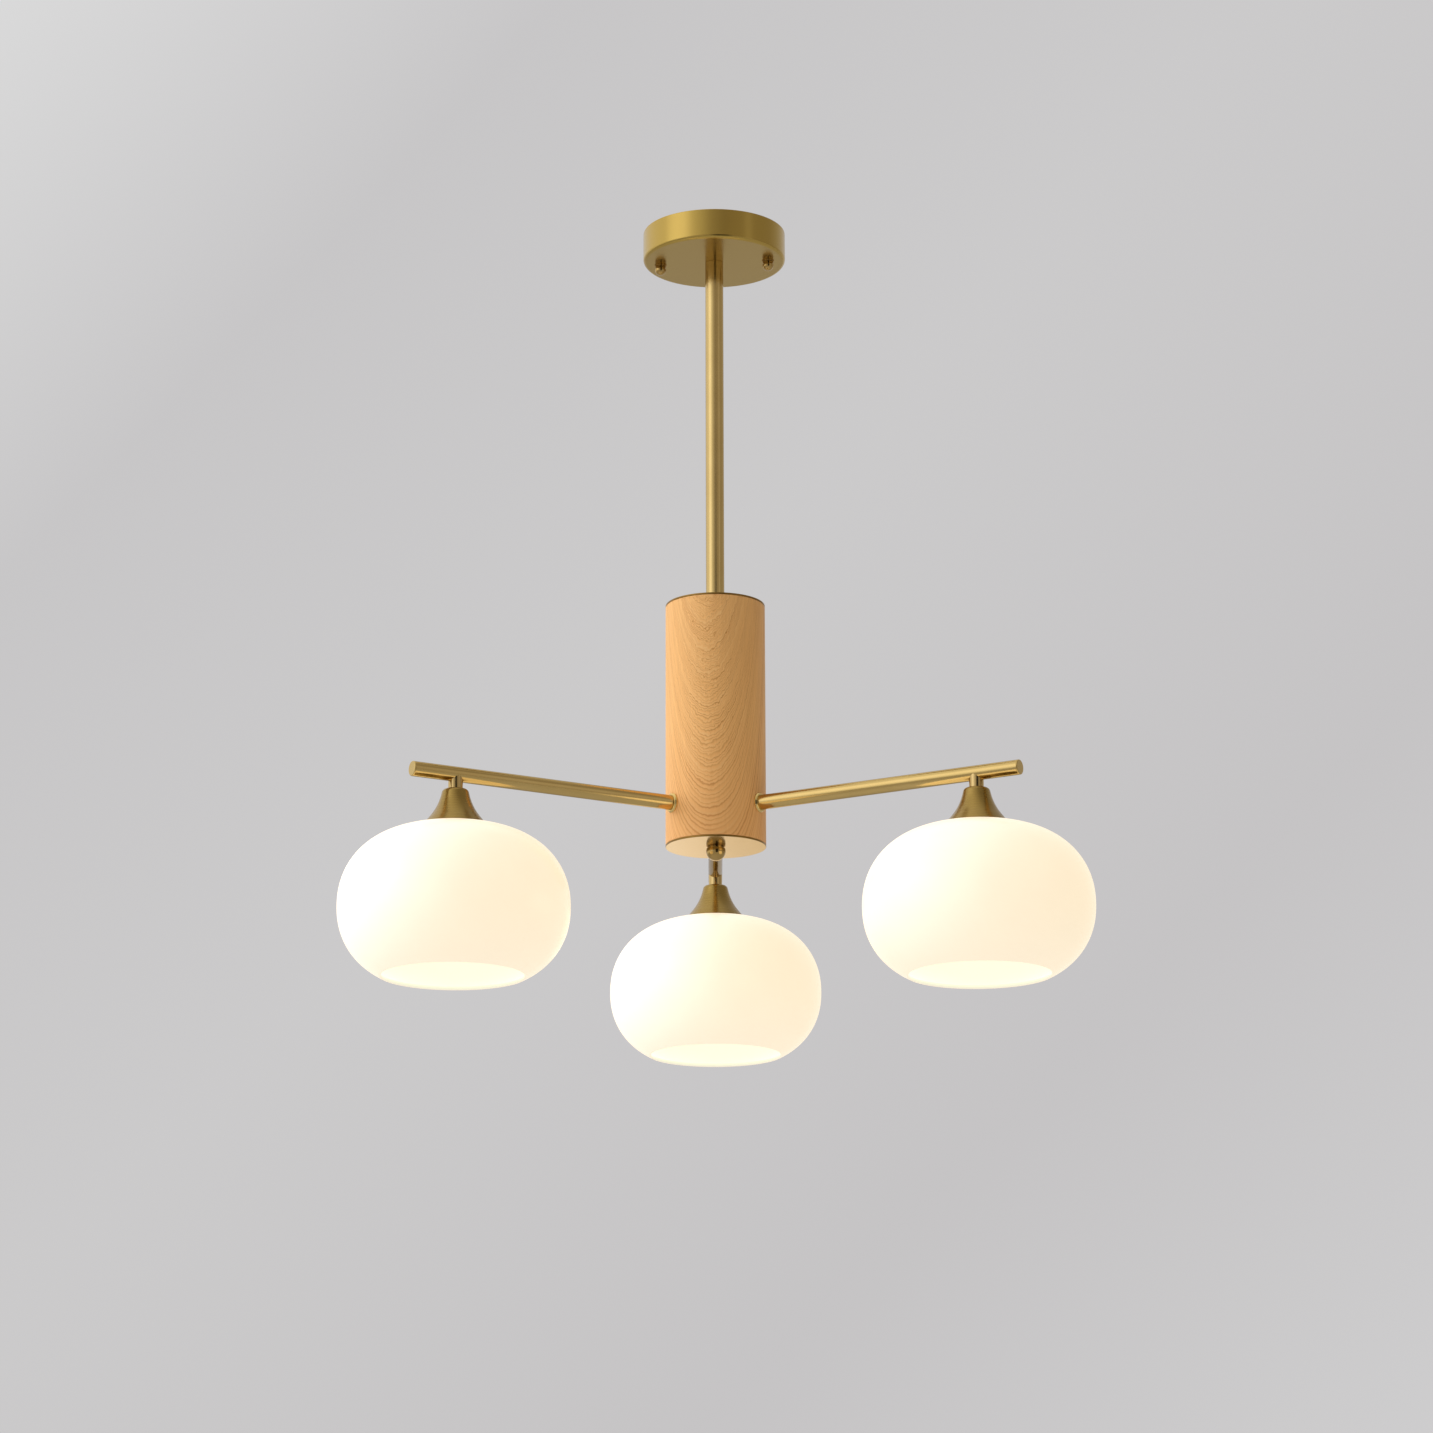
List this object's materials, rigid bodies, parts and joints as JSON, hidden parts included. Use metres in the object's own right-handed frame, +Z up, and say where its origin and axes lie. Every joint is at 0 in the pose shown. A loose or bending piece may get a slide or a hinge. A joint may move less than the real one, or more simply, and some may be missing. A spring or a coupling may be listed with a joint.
{
  "type": "chandelier",
  "caption": "Ceiling chandelier: wooden column on a brass down rod, with level brass arms that each hold a squashed opal glass globe, open below.",
  "frame": {"origin": "centre of the mounting bar's top face, in the plane of the ceiling", "axes": "+Z up into the ceiling; one arm points along +Y and the other two to the front left and front right"},
  "size_m": [0.5844, 0.5302, 0.6518],
  "materials": {
    "satin_brass": "satin brushed",
    "polished_brass": "polished",
    "raw_brass": "machined",
    "zinc_steel": "zinc plated",
    "beech": "satin lacquer",
    "white_plastic": "moulded",
    "opal_glass": "satin opal",
    "frosted_glass": "frosted",
    "bulb_cap": "rolled",
    "silicone": "matte",
    "cable_sheath": "matte"
  },
  "bodies": {
    "fixture": {"mounting_bar": "zinc_steel", "bar_studs": "zinc_steel", "earth_screw": "zinc_steel", "terminal_block": "white_plastic", "canopy": "satin_brass", "hanger_nipple": "raw_brass", "hanger_lock_nut": "raw_brass", "supply_cable": "cable_sheath", "down_rod": "satin_brass", "rod_bushes": "raw_brass", "column_top_plate": "polished_brass", "column_bottom_plate": "polished_brass", "wood_column": "beech", "column_nipple": "raw_brass", "arm_hub": "raw_brass", "hub_set_screws": "zinc_steel", "finial_rod": "raw_brass", "arm_tube_1": "satin_brass", "arm_tube_2": "satin_brass", "arm_tube_3": "satin_brass", "arm_collars": "satin_brass", "arm_end_caps": "satin_brass", "arm_wires": "cable_sheath", "socket_nipples": "raw_brass", "arm_necks": "polished_brass", "cup_nuts": "raw_brass", "socket_contacts": "raw_brass", "lamp_cup_1": "satin_brass", "socket_1": "white_plastic", "socket_shell_1": "raw_brass", "lamp_cup_2": "satin_brass", "socket_2": "white_plastic", "socket_shell_2": "raw_brass", "lamp_cup_3": "satin_brass", "socket_3": "white_plastic", "socket_shell_3": "raw_brass"},
    "shade_1": {"glass_shade_1": "opal_glass", "shade_gasket_1": "silicone"},
    "ring_1": {"shade_ring_1": "white_plastic"},
    "bulb_contact_1": {"bulb_contact_1": "raw_brass"},
    "bulb_1": {"bulb_cap_1": "bulb_cap", "bulb_glass_1": "frosted_glass"},
    "shade_2": {"glass_shade_2": "opal_glass", "shade_gasket_2": "silicone"},
    "ring_2": {"shade_ring_2": "white_plastic"},
    "bulb_contact_2": {"bulb_contact_2": "raw_brass"},
    "bulb_2": {"bulb_cap_2": "bulb_cap", "bulb_glass_2": "frosted_glass"},
    "shade_3": {"glass_shade_3": "opal_glass", "shade_gasket_3": "silicone"},
    "ring_3": {"shade_ring_3": "white_plastic"},
    "bulb_contact_3": {"bulb_contact_3": "raw_brass"},
    "bulb_3": {"bulb_cap_3": "bulb_cap", "bulb_glass_3": "frosted_glass"},
    "cap_washer_left": {"cap_washer_left": "polished_brass"},
    "cap_nut_left": {"cap_nut_left": "polished_brass"},
    "cap_washer_right": {"cap_washer_right": "polished_brass"},
    "cap_nut_right": {"cap_nut_right": "polished_brass"},
    "finial_washer": {"finial_washer": "polished_brass"},
    "finial_nut": {"finial_nut": "polished_brass"}
  },
  "joints": [
    {"name": "shade_ring_1_lower", "type": "slide", "parent": "fixture", "child": "shade_1", "axis": [0, 0, -1], "range_m": [0, 0.009]},
    {"name": "shade_ring_1_unscrew", "type": "hinge", "parent": "shade_1", "child": "ring_1", "pos_m": [-0.20222, -0.11675, 0], "axis": [0, 0, -1], "range_deg": [0, 1080]},
    {"name": "bulb_1_lower", "type": "slide", "parent": "fixture", "child": "bulb_contact_1", "axis": [0, 0, -1], "range_m": [0, 0.02]},
    {"name": "bulb_1_unscrew", "type": "hinge", "parent": "bulb_contact_1", "child": "bulb_1", "pos_m": [-0.20222, -0.11675, 0], "axis": [0, 0, -1], "range_deg": [0, 1984.02]},
    {"name": "shade_ring_2_lower", "type": "slide", "parent": "fixture", "child": "shade_2", "axis": [0, 0, -1], "range_m": [0, 0.009]},
    {"name": "shade_ring_2_unscrew", "type": "hinge", "parent": "shade_2", "child": "ring_2", "pos_m": [0.20222, -0.11675, 0], "axis": [0, 0, -1], "range_deg": [0, 1080]},
    {"name": "bulb_2_lower", "type": "slide", "parent": "fixture", "child": "bulb_contact_2", "axis": [0, 0, -1], "range_m": [0, 0.02]},
    {"name": "bulb_2_unscrew", "type": "hinge", "parent": "bulb_contact_2", "child": "bulb_2", "pos_m": [0.20222, -0.11675, 0], "axis": [0, 0, -1], "range_deg": [0, 1984.02]},
    {"name": "shade_ring_3_lower", "type": "slide", "parent": "fixture", "child": "shade_3", "axis": [0, 0, -1], "range_m": [0, 0.009]},
    {"name": "shade_ring_3_unscrew", "type": "hinge", "parent": "shade_3", "child": "ring_3", "pos_m": [0, 0.2335, 0], "axis": [0, 0, -1], "range_deg": [0, 1080]},
    {"name": "bulb_3_lower", "type": "slide", "parent": "fixture", "child": "bulb_contact_3", "axis": [0, 0, -1], "range_m": [0, 0.02]},
    {"name": "bulb_3_unscrew", "type": "hinge", "parent": "bulb_contact_3", "child": "bulb_3", "pos_m": [0, 0.2335, 0], "axis": [0, 0, -1], "range_deg": [0, 1984.02]},
    {"name": "cap_nut_left_lower", "type": "slide", "parent": "fixture", "child": "cap_washer_left", "axis": [0, 0, -1], "range_m": [0, 0.0049]},
    {"name": "cap_nut_left_unscrew", "type": "hinge", "parent": "cap_washer_left", "child": "cap_nut_left", "pos_m": [-0.04471, 0.00509, 0], "axis": [0, 0, -1], "range_deg": [0, 2520]},
    {"name": "cap_nut_right_lower", "type": "slide", "parent": "fixture", "child": "cap_washer_right", "axis": [0, 0, -1], "range_m": [0, 0.0049]},
    {"name": "cap_nut_right_unscrew", "type": "hinge", "parent": "cap_washer_right", "child": "cap_nut_right", "pos_m": [0.04471, -0.00509, 0], "axis": [0, 0, -1], "range_deg": [0, 2520]},
    {"name": "finial_lower", "type": "slide", "parent": "fixture", "child": "finial_washer", "axis": [0, 0, -1], "range_m": [0, 0.006]},
    {"name": "finial_unscrew", "type": "hinge", "parent": "finial_washer", "child": "finial_nut", "pos_m": [0, 0, 0], "axis": [0, 0, -1], "range_deg": [0, 1728]}
  ],
  "couplings": [
    {"joint": "shade_ring_1_unscrew", "follows": "shade_ring_1_lower", "rad_per_m": 2094.4},
    {"joint": "bulb_1_unscrew", "follows": "bulb_1_lower", "rad_per_m": 1731.4},
    {"joint": "shade_ring_2_unscrew", "follows": "shade_ring_2_lower", "rad_per_m": 2094.4},
    {"joint": "bulb_2_unscrew", "follows": "bulb_2_lower", "rad_per_m": 1731.4},
    {"joint": "shade_ring_3_unscrew", "follows": "shade_ring_3_lower", "rad_per_m": 2094.4},
    {"joint": "bulb_3_unscrew", "follows": "bulb_3_lower", "rad_per_m": 1731.4},
    {"joint": "cap_nut_left_unscrew", "follows": "cap_nut_left_lower", "rad_per_m": 8976},
    {"joint": "cap_nut_right_unscrew", "follows": "cap_nut_right_lower", "rad_per_m": 8976},
    {"joint": "finial_unscrew", "follows": "finial_lower", "rad_per_m": 5026.5}
  ]
}
